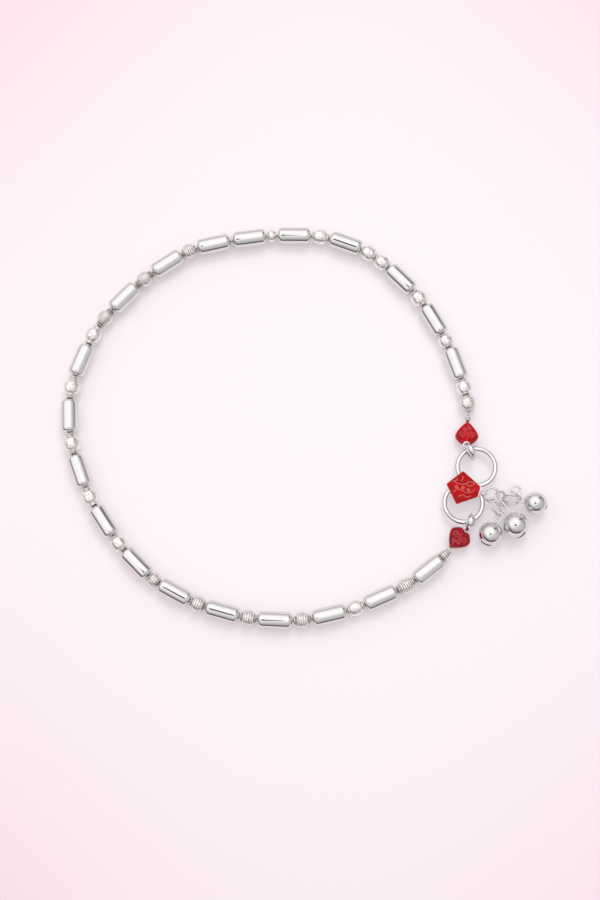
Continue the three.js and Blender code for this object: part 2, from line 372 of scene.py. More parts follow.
# %% The order of the string
CLASP_OVERHANG = 6 * MM
CLASP_TURN = 0.07
SPACERS = ("ball", "ribbed", "knurled", "coil", "cone", "washer")
loop_middle = (np.array(bounds_before[0]) + np.array(bounds_before[1])) / 2
loop_middle[0] -= CLASP_OVERHANG


def turn_from_clasp(node):
    """How far round the loop a bead lies, from 0 at the clasp to 1 at the clasp again."""
    x, y, _ = box_middle(node) - loop_middle
    return (math.atan2(y, x) / TURN + CLASP_TURN) % 1.0


beads = [name for name in nodes if name.split("_")[0] in ("tube", *SPACERS)]
beads.sort(key=turn_from_clasp)
middles = {name: box_middle(name) for name in beads}
heads = {}
for number, name in enumerate(beads):
    before = middles[beads[max(number - 1, 0)]]
    after = middles[beads[min(number + 1, len(beads) - 1)]]
    heads[name] = unit(after - before)
    if name.startswith("tube"):
        own = spread_axes(points_of(name))[0]
        heads[name] = own * np.sign(own @ heads[name])
print("string:", " ".join(beads))


def measure(name):
    """A bead's frame, middle, half length and radius, all read from its CAD node."""
    axes = axes_along(heads[name])
    local = (points_of(name) - middles[name]) @ axes
    return axes, middles[name], np.ptp(local[:, 0]) / 2, np.ptp(local[:, 2]) / 2


def bead_piece(name, grid, material, hollow=None):
    """Puts a bead that was spun along X into its own place on the string."""
    axes, middle, _, _ = measure(name)
    points, faces = skin([grid @ axes.T + middle], is_ring=True)
    hollow = np.zeros(len(points)) if hollow is None else hollow.reshape(-1)
    return piece(name + "_silver", points, faces, material, name, marks={"hollow": hollow})


# %% [markdown]
# ## Tube beads
# Each tube is drawn from silver sheet, and its ends are burnished over, so the shoulder is
# a quarter ellipse and the end face is a narrow flat. Hand polishing leaves the barrel a
# few hundredths of a millimetre fuller in the middle, which bends the reflections slightly.

# %% Tubes
SHOULDER = 0.85 * MM
END_FACE = 0.86 * MM
BARREL_SWELL = 0.008


def tube_grid(half, radius, sides=72):
    """Burnished ends, and between them r = R (1 - swell (x / half)^2)."""
    start_x, start_r = quarter((-half, END_FACE), (-half + SHOULDER, radius * (1 - BARREL_SWELL)))
    body = np.linspace(-half + SHOULDER, half - SHOULDER, 9)[1:-1]
    belly = radius * (1 - BARREL_SWELL * (body / half) ** 2)
    along = np.r_[start_x, body, -start_x[::-1]]
    return with_bore(along, np.r_[start_r, belly, start_r[::-1]], sides)


tubes = [name for name in beads if name.startswith("tube")]
for name in tubes:
    _, _, half, radius = measure(name)
    bead_piece(name, tube_grid(half, radius), polished)
print(len(tubes), "tubes")

# %% [markdown]
# ## Spacers
# Between the tubes sit small cast spacers. Each is a ball with one or more rings of wire
# soldered on at both ends, where it meets the tubes. Some balls are plain, some have fine
# ribs turned round them, and the one next to the upper heart is knurled with crossed
# grooves. The outline is a superellipse, which stays full near its ends as a cast ball does,
# and the rings are half waves with deep, tarnished grooves between them.

# %% Outline of a spacer
RING_TOP = 1.00 * MM
RING_FOOT = 0.54 * MM
RING_WIDTH = 0.48 * MM
FULLNESS = 2.6
GROOVE_TARNISH = 0.44
PLAIN_BALL_HALF = 1.38 * MM
RIBBED_BALL_HALF = 1.25 * MM


def spacer_outline(half, radius, collar, stations=73):
    """Stations and radii of |x/a|^n + |r/R|^n = 1, where n is the fullness, between two runs of
    rings. Also how far each station is down in a groove between rings, and which are ball."""
    reach = half - collar
    full = 1.15 * reach
    ball = np.linspace(-reach, reach, stations)
    ball_r = radius * (1 - np.abs(ball / full) ** FULLNESS) ** (1 / FULLNESS)
    turns = max(1, round(collar / RING_WIDTH))
    phase = np.linspace(0, turns, 10 * turns + 1)
    crest = np.abs(np.sin(math.pi * phase)) ** 0.8
    ring_x = -half + collar * phase / turns
    ring_r = RING_FOOT + (RING_TOP - RING_FOOT) * crest
    along = np.r_[ring_x[:-1], ball, -ring_x[::-1][1:]]
    radii = np.r_[ring_r[:-1], ball_r, ring_r[::-1][1:]]
    groove = np.r_[1 - crest[:-1], np.zeros(stations), 1 - crest[::-1][1:]]
    return along, radii, groove, np.abs(along) <= reach


# %% Ribs and knurls on a spacer
def spacer(half, radius, collar, pitch=0.0, depth=0.0, climbs=0, knurl=0, sides=96):
    """A spun outline whose ball has grooves one pitch apart; climbs is how many pitches they
    rise in one turn, and knurl is the number of crossing grooves round the ball."""
    along, radii, groove, on_ball = spacer_outline(half, radius, collar)
    angle = np.arange(sides) / sides * TURN
    cut = np.zeros((len(along), sides))
    if pitch:
        phase = along[:, None] / pitch + 0.5 + (climbs + knurl) * angle / TURN
        cut = (1 - np.abs(np.sin(math.pi * phase))) ** 1.5
    if knurl:
        crossed = along[:, None] / pitch - knurl * angle / TURN
        cut = np.maximum(cut, (1 - np.abs(np.sin(math.pi * crossed))) ** 1.5)
    cut = np.where(on_ball[:, None], cut, 0)
    hollow = np.maximum(groove[:, None], GROOVE_TARNISH * cut)
    hollow = np.vstack([hollow, np.ones((4, sides))])
    return with_bore(along, radii, sides, -depth * cut), hollow


def collar_of(half, ball_half=RIBBED_BALL_HALF):
    """The rings take what the ball, which is at most that long, leaves of the bead's length."""
    return max(half - ball_half, 0.20 * MM)


for name in [name for name in beads if name.startswith("ball")]:
    _, _, half, radius = measure(name)
    collar = collar_of(half, PLAIN_BALL_HALF)
    grid, hollow = spacer(half, radius, collar, pitch=1.1 * MM, depth=0.02 * MM)
    bead_piece(name, grid, cast, hollow * (hollow > 0.9))

for name in [name for name in beads if name.startswith("ribbed")]:
    _, _, half, radius = measure(name)
    grid, hollow = spacer(half, radius, collar_of(half), pitch=0.48 * MM, depth=0.10 * MM)
    bead_piece(name, grid, cast, hollow)

_, _, half, radius = measure("knurled_1")
grid, hollow = spacer(half, radius, 0.25 * MM, pitch=0.60 * MM, depth=0.04 * MM, knurl=10)
bead_piece("knurled_1", grid, cast, hollow * 0.5)
print(len([name for name in beads if not name.startswith("tube")]), "spacers")

# %% [markdown]
# The coil is a barrel wound from one wire, and the cone at the end of the string is a spring
# of the same wire that narrows towards the heart. Their grooves climb as a screw does: they
# move on by one pitch as the angle goes once round.

# %% Coil, cone and washer
_, _, half, radius = measure("coil_1")
grid, hollow = spacer(half, radius, 0.50 * MM, pitch=0.46 * MM, depth=0.11 * MM, climbs=1)
bead_piece("coil_1", grid, cast, hollow)


def spring_cone(half, radius, pitch, depth, sides=72):
    """r = R (1 - 0.45 s) min(1, 0.75 + 4 s) with s from 0 to 1 along the cone, less the grooves
    between turns: it opens quickly from a narrow mouth and then tapers."""
    along = np.linspace(-half, half, 121)
    s = (along + half) / (2 * half)
    angle = np.arange(sides) / sides * TURN
    phase = along[:, None] / pitch + angle / TURN
    cut = (1 - np.abs(np.sin(math.pi * phase))) ** 1.2
    hollow = np.vstack([cut, np.ones((4, sides))])
    shape = radius * (1 - 0.45 * s) * np.minimum(0.75 + 4 * s, 1)
    return with_bore(along, shape, sides, -depth * cut), hollow


CONE_SLACK = 0.08 * MM
_, _, half, radius = measure("cone_1")
grid, hollow = spring_cone(half - CONE_SLACK, radius, 0.50 * MM, 0.22 * MM)
bead_piece("cone_1", grid, cast, hollow * 0.4)

_, _, half, radius = measure("washer_1")
washer = quarter((-half, radius - half), (0.0, radius), 6)
along = np.r_[washer[0], -washer[0][::-1][1:]]
grid = with_bore(along, np.r_[washer[1], washer[1][::-1][1:]], 48)
bead_piece("washer_1", grid, polished)
print(len(beads), "beads on the string")

# %% [markdown]
# ## Rings of wire
# A wire ring is a circle carried round a bigger circle. The centre line is written with two
# directions in the ring's plane, and the wire's own circle uses the outward direction and
# the ring's normal. The wire may be thicker on one part of the ring than on another, as the
# two links are: their crowns are heavy and their ends are drawn thin.

# %% Wire along a closed line
def wire_ring(
    middle, across, upright, radius, wire, stretch=0.0, crown=(0.0, 0.0), count=144, sides=20
):
    """P(t, a) = C + c(t) + w(t) (cos a out(t) + sin a n), with c a circle cut in two halves
    that stand stretch apart, and w(t) = wire + swell max(0, cos(t - s))^4, where crown
    holds the swell and s."""
    t = (np.arange(count) + 0.5) / count * TURN
    normal = np.cross(across, upright)
    out = np.cos(t)[:, None] * across + np.sin(t)[:, None] * upright
    half_gap = np.sign(np.cos(t))[:, None] * stretch / 2 * across
    line = middle + radius * out + half_gap
    a = np.arange(sides) / sides * TURN
    section = np.cos(a)[:, None] * out[:, None, :] + np.sin(a)[:, None] * normal
    thick = wire + crown[0] * np.clip(np.cos(t - crown[1]), 0, 1) ** 4
    return line[:, None, :] + thick[:, None, None] * section


def ring_from_node(name):
    """Middle, plane and radius of a flat CAD ring, read from how its points spread."""
    points = points_of(name)
    middle = points.mean(0)
    normal = spread_axes(points)[2]
    across = unit(np.cross(normal, UP) if abs(normal[2]) < 0.95 else np.cross(normal, [0, 1, 0]))
    upright = np.cross(normal, across)
    flat = (points - middle) @ np.column_stack([across, upright])
    return middle, across, upright, np.linalg.norm(flat, axis=1).mean()


def plain_marks(points):
    """No tarnish and no painted shade anywhere."""
    return {"hollow": np.zeros(len(points))}


def painted_flank_shade(points, strength, sides):
    """Painted shade on both flanks of a wire, which stands in for the dark reflections along its
    edges: at the angle a round the wire it is strength exp(-((|cos a| - 0.76) / 0.14)^2)."""
    angle = np.arange(sides) / sides * TURN
    flank = strength * np.exp(-(((np.abs(np.cos(angle)) - 0.76) / 0.14) ** 2))
    return {"hollow": np.tile(flank, len(points) // sides)}


# %% [markdown]
# ## Jump rings and links
# Each jump ring of the bell cluster is a turn of fine wire, and each link between a heart
# and its ring is a heavy one that stands on edge, swollen at its crown. Their places come
# from the CAD rings, so that rings which hold one another still pass through one another.

# %% Jump rings
JUMP_WIRE = 0.25 * MM
LOOP_WIRE = 0.205 * MM
JUMP_SIDES = 20
JUMP_RINGS = ("jump_ring", "cluster_ring", "bell_ring_1", "bell_ring_2", "spare_link", "spare_ring")
for name in JUMP_RINGS:
    middle, across, upright, radius = ring_from_node(name)
    wire = LOOP_WIRE if name == "spare_link" else JUMP_WIRE
    grid = wire_ring(middle, across, upright, radius, wire, count=96, sides=JUMP_SIDES)
    points, faces = skin([grid], is_ring=True)
    # Painted shade on the wire's flanks stands in for the dark reflections at its edges.
    marks = painted_flank_shade(points, 0.5, JUMP_SIDES)
    piece(name + "_silver", points, faces, drawn, name, marks=marks)

# %% Links
LINK_WIRE = 0.34 * MM
LINK_SIDES = 28
LINKS = (
    ("link_upper", "heart_upper", 0.46 * MM, 82),
    ("link_lower", "heart_lower", 0.58 * MM, 90),
)
for name, heart, swell, crown_turn in LINKS:
    middle, across, upright, radius = ring_from_node(name)
    upright = upright * np.sign(upright[2])
    across = across * np.sign(across @ (box_middle(heart) - middle))
    crown = (swell, math.radians(crown_turn))
    grid = wire_ring(middle, across, upright, radius, LINK_WIRE, crown=crown, sides=LINK_SIDES)
    points, faces = skin([grid], is_ring=True)
    # Painted shade on the wire's flanks stands in for the dark reflections at its edges.
    marks = painted_flank_shade(points, 0.6, LINK_SIDES)
    piece(name + "_silver", points, faces, drawn, name, marks=marks)

# %% [markdown]
# ## The thread
# The thread is three strands twisted together, and shows only between the beads and at the
# hearts. It runs along a line through the hearts' tips and the ends of the beads. The
# radius follows a wave of three lobes that turns as the distance grows. At the upper heart
# the end is whipped with fine silver wire, wound thickest just before the heart's tip.

# %% Heart directions
def heart_frame(name):
    """The heart's tip and its axes: the tip is the end of its longest line that lies nearer
    to the string of beads."""
    points = points_of(name)
    axis = spread_axes(points * [1, 1, 0])[0]
    run = points @ axis
    ends = [points[run.argmin()], points[run.argmax()]]
    string_ends = (middles[beads[0]], middles[beads[-1]])
    nearest = min(string_ends, key=lambda middle: np.linalg.norm(middle - ends[0]))
    ends.sort(key=lambda end: np.linalg.norm((end - nearest)[:2]))
    level = middles[tubes[0]][2]
    tip = np.array([ends[0][0], ends[0][1], level])
    return tip, axes_along(ends[1] - ends[0])


hearts = {name: heart_frame(name) for name in ("heart_upper", "heart_lower")}

# %% Thread
THREAD_RADIUS = 0.24 * MM


def thread_line(step=0.2 * MM):
    """Points at equal steps along the line through the tips and all bead ends."""
    stops = [hearts["heart_upper"][0] + 0.6 * MM * hearts["heart_upper"][1][:, 0]]
    for name in beads:
        _, middle, half, _ = measure(name)
        stops += [middle - half * heads[name], middle + half * heads[name]]
    stops.append(hearts["heart_lower"][0] + 0.6 * MM * hearts["heart_lower"][1][:, 0])
    stops = np.array(stops)
    gone = np.r_[0, np.cumsum(np.linalg.norm(np.diff(stops, axis=0), axis=1))]
    at = np.arange(0, gone[-1], step)
    return np.stack([np.interp(at, gone, stops[:, k]) for k in range(3)], -1), at


line, at = thread_line()
ahead = np.gradient(line, axis=0)
ahead /= np.linalg.norm(ahead, axis=1)[:, None]
side = np.cross(UP, ahead)
angle = np.arange(18) / 18 * TURN
radius = THREAD_RADIUS * (1 + 0.13 * np.cos(3 * (angle - at[:, None] / (0.25 * MM))))
section = np.cos(angle)[:, None] * side[:, None, :] + np.sin(angle)[:, None] * UP
points, faces = skin([line[:, None, :] + radius[..., None] * section])
piece("thread_braid", points, faces, thread_grey, "thread")
print(f"thread: {at[-1] * 1000:.0f} mm long")

# %% The whipping at the upper heart
first = beads[0]
bead_end = middles[first] - (measure(first)[2] - 0.05 * MM) * heads[first]
tip = hearts["heart_upper"][0]
run = np.linalg.norm(tip - bead_end)
t = np.linspace(0, 1, 90)
bulge = 0.36 * MM + 0.42 * MM * np.exp(-(((t - 0.76) / 0.18) ** 2))
wound = np.abs(np.sin(math.pi * (t * run / (0.44 * MM))))
coil = spin(t * run, (bulge - 0.12 * MM * (1 - wound))[:, None] * np.ones(24), 24)
axes = axes_along(tip - bead_end)
points, faces = skin([coil @ axes.T + bead_end])
grooves = np.repeat(0.9 * (1 - wound) ** 1.5, 24)
piece("tip_whipping", points, faces, drawn, marks={"hollow": np.r_[grooves, 0, 0]})
print(f"whipping: {run / MM:.1f} mm long")

# %% [markdown]
# ## Engraving
# The hearts and the plaque carry scrolls that were cut into the metal before the enamel was
# fired. A scroll is a spiral, and a stem is a gentle wave. Any point of a surface can be
# asked how far it is from the nearest stroke, and a bell curve of that distance raises the
# surface there and makes the red paler.

# %% Strokes
LINE_WIDTH = 0.075 * MM


def spiral(centre, inner, outer, start, turns, count=90):
    """P(t) = centre + r(t) (cos, sin)(start + turns 2 pi t), with r from outer to inner."""
    t = np.linspace(0, 1, count)
    r = outer + (inner - outer) * t
    angle = start + turns * TURN * t
    return np.stack([centre[0] + r * np.cos(angle), centre[1] + r * np.sin(angle)], -1)


def stem(start, end, sway, waves, count=90):
    """A stroke from start to end that sways to both sides that many times."""
    t = np.linspace(0, 1, count)[:, None]
    start, end = np.array(start), np.array(end)
    aside = np.array([start[1] - end[1], end[0] - start[0]]) / np.linalg.norm(end - start)
    return start + (end - start) * t + sway * np.sin(waves * math.pi * t) * aside


def stroke(keys, middle, count=24):
    """A smooth line through points given in mm from the middle. Between keys b and c, with
    a before and d after: P(t) = b + t (c-a)/2 + t^2 (a - 5b/2 + 2c - d/2) + t^3 (d-a+3b-3c)/2."""
    keys = np.array(keys) * MM + middle
    padded = np.vstack([keys[:1], keys, keys[-1:]])
    a, b, c, d = (padded[k : k + len(keys) - 1, None, :] for k in range(4))
    t = np.linspace(0, 1, count)[None, :, None]
    cubic = t**2 * (a - 2.5 * b + 2 * c - 0.5 * d) + t**3 * (d - a + 3 * b - 3 * c) / 2
    return (b + t * (c - a) / 2 + cubic).reshape(-1, 2)


def closeness(flat, strokes, width):
    """exp(-(d / width)^2) for each row [x, y], where d is its distance to the nearest stroke."""
    strokes = np.vstack(strokes)
    nearest = np.full(len(flat), np.inf)
    for some in np.array_split(strokes, 12):
        gap = np.linalg.norm(flat[:, None, :] - some, axis=-1).min(1)
        nearest = np.minimum(nearest, gap)
    return np.exp(-((nearest / width) ** 2))


# %% [markdown]
# ## Hearts
# A heart is cast with a rounded edge and a raised border. Its skin starts under the middle,
# runs out to the edge, up the side and back over the top to the middle: each row of the
# grid is the outline, shrunk towards the middle and set at its own height. The outline is
# three quadratic curves a side, through the same fractions of length and width as the CAD.

# %% The heart's outline
HEART_LENGTH = 4.24 * MM
HEART_HALF = 2.28 * MM
HEART_THICKNESS = 1.5 * MM
HEART_CURVES = [(0, 0), (0.45, 0.97), (0.72, 1), (0.87, 0.97), (1.06, 0.47), (1.09, 0.22), (1, 0)]


def heart_outline(count=48):
    """Points round the heart, tip at the origin and lobes towards +X."""
    keys = np.array(HEART_CURVES) * [HEART_LENGTH, HEART_HALF]
    t = np.linspace(0, 1, count, endpoint=False)[:, None]
    runs = []
    for a, b, c in (keys[0:3], keys[2:5], keys[4:7]):
        runs.append((1 - t) ** 2 * a + 2 * t * (1 - t) * b + t**2 * c)
    half = np.vstack([*runs, keys[-1:]])
    return np.vstack([half, half[-2:0:-1] * [1, -1]])


def slab_rows(outline, middle, bottom, top, edge, count=44):
    """Grid rows [i, j, xyz] of a slab with a rounded edge, from under its middle to its top."""
    t = np.linspace(0, math.pi / 2, 7)
    inner = np.linspace(0.004, 1, count)[:-1]
    reach = np.abs(outline - middle).max()
    shrink = edge / reach
    scale = np.r_[inner * (1 - shrink), 1 - shrink + shrink * np.sin(t)]
    low = np.r_[inner * 0 + bottom, bottom + edge * (1 - np.cos(t))]
    high = np.r_[top - edge * (1 - np.cos(t)), inner * 0 + top]
    scale = np.r_[scale, 1 - shrink + shrink * np.sin(t[::-1]), inner[::-1] * (1 - shrink)]
    height = np.r_[low, high[:7][::-1], high[7:]]
    flat = middle + scale[:, None, None] * (outline - middle)
    return np.dstack([flat, height[:, None] + np.zeros(len(outline))]), scale


# %% Relief on a slab
def engrave(grid, scale, strokes, width, rise, dome, border):
    """Lifts the top of a slab: a dome in the middle, the strokes, and a border near its edge.
    Returns the grid and how strongly each of its points is engraved."""
    rows = len(scale)
    on_top = (np.arange(rows) > rows / 2 + 3)[:, None]
    near = closeness(grid[..., :2].reshape(-1, 2), strokes, width).reshape(grid.shape[:2])
    near = near * np.clip((0.90 - scale[:, None]) / 0.04, 0, 1)
    rim = np.exp(-(((scale - border) / 0.022) ** 2))[:, None] * np.ones(grid.shape[1])
    lift = dome * (1 - scale[:, None] ** 2) + rise * np.maximum(near, 0.8 * rim)
    lifted = grid.copy()
    lifted[..., 2] += np.where(on_top, lift, 0)
    return lifted, np.where(on_top, np.maximum(near, 0.45 * rim), 0)


def marks_with_tips(values):
    """Marks for a skin whose two fans add a tip at each end."""
    return np.r_[values.reshape(-1), 0, values[-1].mean()]


# %% The two hearts
HEART_SCROLLS = [
    spiral((2.75 * MM, 1.05 * MM), 0.12 * MM, 0.72 * MM, 3.6, 1.5),
    spiral((2.75 * MM, -1.05 * MM), 0.12 * MM, 0.72 * MM, -3.6, -1.5),
    spiral((1.55 * MM, 0.36 * MM), 0.08 * MM, 0.40 * MM, 0.6, 1.2),
    spiral((1.75 * MM, -0.50 * MM), 0.08 * MM, 0.36 * MM, -0.9, -1.2),
    stem((0.55 * MM, 0.0), (3.7 * MM, 0.0), 0.16 * MM, 3),
]
HEART_EYE = 0.60 * MM
EYE_WIRE = 0.2 * MM


def make_heart(name):
    tip, axes = hearts[name]
    outline = heart_outline()
    middle = np.array([0.56 * HEART_LENGTH, 0.0])
    half = HEART_THICKNESS / 2
    grid, scale = slab_rows(outline, middle, -half, half, 0.30 * MM)
    grid, engraved = engrave(grid, scale, HEART_SCROLLS, LINE_WIDTH, 0.07 * MM, 0.22 * MM, 0.93)
    points, faces = skin([grid @ axes.T + tip])
    marks = {"engraved": marks_with_tips(engraved)}
    red = upper_red if name == "heart_upper" else lower_red
    piece(name + "_enamel", points, faces, red, name, marks=marks)


for name in hearts:
    make_heart(name)

# %% The eyes at the notches
for name in hearts:
    tip, axes = hearts[name]
    _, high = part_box(name)
    level = high.z - EYE_WIRE if name == "heart_upper" else tip[2]
    middle = tip + axes[:, 0] * (HEART_LENGTH + HEART_EYE)
    middle[2] = level
    grid = wire_ring(middle, axes[:, 0], axes[:, 1], HEART_EYE, EYE_WIRE, count=72, sides=16)
    points, faces = skin([grid], is_ring=True)
    piece(name + "_eye", points, faces, polished, marks=plain_marks(points))

# %% [markdown]
# ## The pair of rings, the plaque and its tray
# Two plain rings are soldered under a shallow five-sided tray, which holds the enamel. A
# small eye at the tray's right corner carries the bells. All of this is one soldered piece
# in the real clasp, so it is one object here, made of overlapping closed skins.

# %% Rings and eye
RING_RADIUS = 3.75 * MM
RING_WIRE = 0.47 * MM
RING_SIDES = 28
RING_COUNT = 144
CAD_RING_WIRE = 0.46 * MM
RING_TILT = math.radians(-3)
low, high = (np.array(corner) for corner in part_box("double_ring"))
outer = RING_RADIUS + CAD_RING_WIRE
upper_centre = np.array([high[0] - outer, high[1] - outer, 1.93 * MM])
lower_centre = np.array([low[0] + outer, low[1] + outer, middles[tubes[0]][2]])
east = np.array([1.0, 0, 0])
north = np.array([0, math.cos(RING_TILT), math.sin(RING_TILT)])
clasp_grids = [
    wire_ring(centre, east, upright, RING_RADIUS, RING_WIRE, count=RING_COUNT, sides=RING_SIDES)
    for centre, upright in ((upper_centre, north), (lower_centre, np.array([0, 1.0, 0])))
]
eye_centre = lower_centre + np.array([3.83, 1.70, 0.0]) * MM
eye_centre[2] = 2.6 * MM
clasp_grids.append(wire_ring(eye_centre, east, UP, 0.66 * MM, LOOP_WIRE, count=72, sides=16))
clasp_points, clasp_faces = skin(clasp_grids, is_ring=True)
both_rings = clasp_points[: 2 * RING_COUNT * RING_SIDES]
# Painted shade on the flanks of both rings stands in for the dark reflections at their edges.
ring_painted_shade = painted_flank_shade(both_rings, 0.95, RING_SIDES)["hollow"]

# %% The five-sided outline
def plaque_outline(grow_left, grow_right, round_by=0.10 * MM, count=22):
    """The enamel's outline from its CAD corners, each moved out from the middle and rounded."""
    flat = np.unique(points_of("plaque_enamel")[:, :2].round(6), axis=0)
    middle = flat.mean(0)
    arms = flat - middle
    arms = arms[np.argsort(np.arctan2(arms[:, 1], arms[:, 0]))]
    length = np.linalg.norm(arms, axis=1)[:, None]
    grow = np.where(arms[:, :1] < 0, grow_left, grow_right)
    corners = middle + arms * (1 + grow / length)
    sides = []
    for here, there in zip(corners, np.roll(corners, -1, 0)):
        t = np.linspace(0, 1, count, endpoint=False)[:, None]
        inset = round_by / np.linalg.norm(there - here)
        eased = inset + (1 - 2 * inset) * t
        sides.append(here + (there - here) * eased)
    return np.vstack(sides), middle


# %% Tray and stem
low, high = (np.array(corner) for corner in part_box("plaque_enamel"))
TRAY_BASE = 2.1 * MM
outline, plaque_middle = plaque_outline(0.33 * MM, 0.38 * MM)
grid, scale = slab_rows(outline, plaque_middle, TRAY_BASE, high[2] + 0.02 * MM, 0.10 * MM, 12)
inside = (np.arange(len(scale)) > len(scale) / 2) & (scale < 0.90)
grid[inside, :, 2] = low[2] + 0.1 * MM
points, faces = skin([grid])
faces = [[corner + len(clasp_points) for corner in face] for face in faces]
clasp_points = np.vstack([clasp_points, points])
clasp_faces += faces
stem_x = np.linspace(-1.05, -0.55, 6) * MM
stem_grid = spin(stem_x, np.full(6, 0.2 * MM), 20) + eye_centre
points, faces = skin([stem_grid])
clasp_faces += [[corner + len(clasp_points) for corner in face] for face in faces]
clasp_points = np.vstack([clasp_points, points])
marks = plain_marks(clasp_points)
marks["hollow"][: len(ring_painted_shade)] = ring_painted_shade
piece("double_ring_silver", clasp_points, clasp_faces, drawn, "double_ring", marks=marks)

# %% The plaque's enamel
outline, middle = plaque_outline(0.32 * MM, 0.16 * MM)
grid, scale = slab_rows(outline, middle, low[2] + 0.12 * MM, high[2] + 0.06 * MM, 0.12 * MM, 60)
PLAQUE_STROKES = {
    "leaf_stalk": [
        (-2.5, 1.35), (-1.9, 2.05), (-1.45, 1.75), (-2.1, 1.5), (-1.4, 1.0), (-0.5, 0.82), (0.25, 0.95)
    ],
    "leaf": [
        (0.25, 0.95), (0.75, 1.32), (1.4, 1.27), (1.78, 0.92), (1.35, 0.52), (0.7, 0.5), (0.25, 0.95)
    ],
    "leaf_tip": [(1.78, 0.92), (2.2, 0.95), (2.55, 0.6)],
    "sprig": [(-0.75, 1.5), (-0.4, 1.9), (-0.45, 2.4)],
    "vine": [(-2.3, -0.75), (-1.6, -0.15), (-0.7, -0.35), (0.2, -0.85), (1.2, -0.75), (1.9, -0.15)],
    "wave": [(-1.3, -1.6), (-0.5, -1.3), (0.3, -1.7), (1.1, -1.5)],
}
PLAQUE_CURLS = (
    ((-1.75, 0.25), 0.40 * MM, -1.2, 1.3),
    ((-0.35, 0.12), 0.38 * MM, -1.9, -1.3),
    ((0.55, -0.32), 0.36 * MM, -1.4, 1.3),
)
scrolls = [stroke(keys, middle) for keys in PLAQUE_STROKES.values()]
for centre, outside, start, turns in PLAQUE_CURLS:
    scrolls.append(spiral(middle + np.array(centre) * MM, 0.08 * MM, outside, start, turns))
grid, engraved = engrave(grid, scale, scrolls, LINE_WIDTH, 0.06 * MM, 0.10 * MM, 0.975)
points, faces = skin([grid])
marks = {"engraved": marks_with_tips(engraved)}
piece("plaque_red", points, faces, plaque_red, "plaque_enamel", marks=marks)

# %% [markdown]
# ## Bells
# Each bell is two cups of thin silver closed into a ball, with a slot across the pole that
# lies opposite its wire loop. The shell is a ball with a smaller ball and a flat slot taken
# out of it by Boolean modifiers, and the result is stored as plain mesh. Hard edges at the
# slot stay hard because the mesh is told to shade smoothly only below a certain angle.

# %% Balls for the bells
BELL_RADIUS = {"bell_1": 2.40 * MM, "bell_2": 2.55 * MM, "bell_3": 2.30 * MM}
BELL_WALL = 0.3 * MM
BELL_SLOT = 0.55 * MM
SLOT_LENGTH = 0.84
SLOT_RAISE = math.radians(14)
BELL_EYE = 0.50 * MM


def ball_grid(radius, rows=72, columns=96):
    """P(i, a) = R (cos b, sin b cos a, sin b sin a), with b running from pole to pole."""
    b = np.linspace(0.01, math.pi - 0.01, rows)
    return spin(-radius * np.cos(b), radius * np.sin(b), columns)


def plain_object(name, points, faces):
    """An object with no material, to be cut or to cut with."""
    mesh = bpy.data.meshes.new(name)
    mesh.from_pydata(points.tolist(), [], faces)
    made = bpy.data.objects.new(name, mesh)
    bpy.context.scene.collection.objects.link(made)
    return made


def slot_cutter(radius):
    """A flat box near the far pole, raised above it, as eight corners and six sides."""
    x = np.array([-1.5, -0.5]) * radius
    y = np.array([-0.5, 0.5]) * SLOT_LENGTH * radius
    z = np.array([-0.5, 0.5]) * BELL_SLOT
    corners = np.array([[a, b, c] for a in x for b in y for c in z])
    cosine, sine = math.cos(SLOT_RAISE), math.sin(SLOT_RAISE)
    corners = corners @ np.array([[cosine, 0, -sine], [0, 1, 0], [sine, 0, cosine]])
    sides = [[0, 1, 3, 2], [4, 6, 7, 5], [0, 4, 5, 1], [2, 3, 7, 6], [0, 2, 6, 4], [1, 5, 7, 3]]
    return corners, sides


# %% Shells
def bell_shell(name, radius, place):
    """Points and faces of one hollow, slotted ball, moved to its place."""
    shell = plain_object(name, *skin([ball_grid(radius)]))
    tools = [
        plain_object(name + "_hollow", *skin([ball_grid(radius - BELL_WALL, 40, 56)])),
        plain_object(name + "_slot", *slot_cutter(radius)),
    ]
    for tool in tools:
        cutter = shell.modifiers.new(tool.name, "BOOLEAN")
        cutter.operation = "DIFFERENCE"
        cutter.solver = "EXACT"
        cutter.object = tool
    bpy.context.view_layer.update()
    view = bpy.context.evaluated_depsgraph_get()
    mesh = bpy.data.meshes.new_from_object(shell.evaluated_get(view))
    flat = np.zeros(len(mesh.vertices) * 3)
    mesh.vertices.foreach_get("co", flat)
    faces = [list(face.vertices) for face in mesh.polygons]
    for spare in (shell, *tools):
        bpy.data.objects.remove(spare)
    return flat.reshape(-1, 3) @ place[0].T + place[1], faces


def bell_place(name):
    """The bell's axes, X towards its loop, its middle and its loop's length."""
    radius = BELL_RADIUS[name]
    points = points_of(name)
    low, high = points.min(0), points.max(0)
    cluster = box_middle("cluster_ring")
    middle = np.where(cluster > (low + high) / 2, low + radius, high - radius)
    middle[2] = radius
    for _ in range(12):
        shell = points[np.abs(np.linalg.norm(points - middle, axis=1) - radius) < 0.3 * MM]
        fit = np.linalg.lstsq(np.c_[2 * shell, np.ones(len(shell))], (shell**2).sum(1), rcond=None)
        middle = fit[0][:3]
    away = np.linalg.norm(points - middle, axis=1)
    loop = points[away > radius + 0.35 * MM]
    along = unit(points[away.argmax()] - middle)
    normal = spread_axes(loop)[2]
    normal = unit(normal - along * (normal @ along)) * np.sign(normal[2])
    axes = np.column_stack([along, np.cross(normal, along), normal])
    return axes, middle, away.max() - radius - 0.3 * MM - BELL_EYE - 0.2 * MM


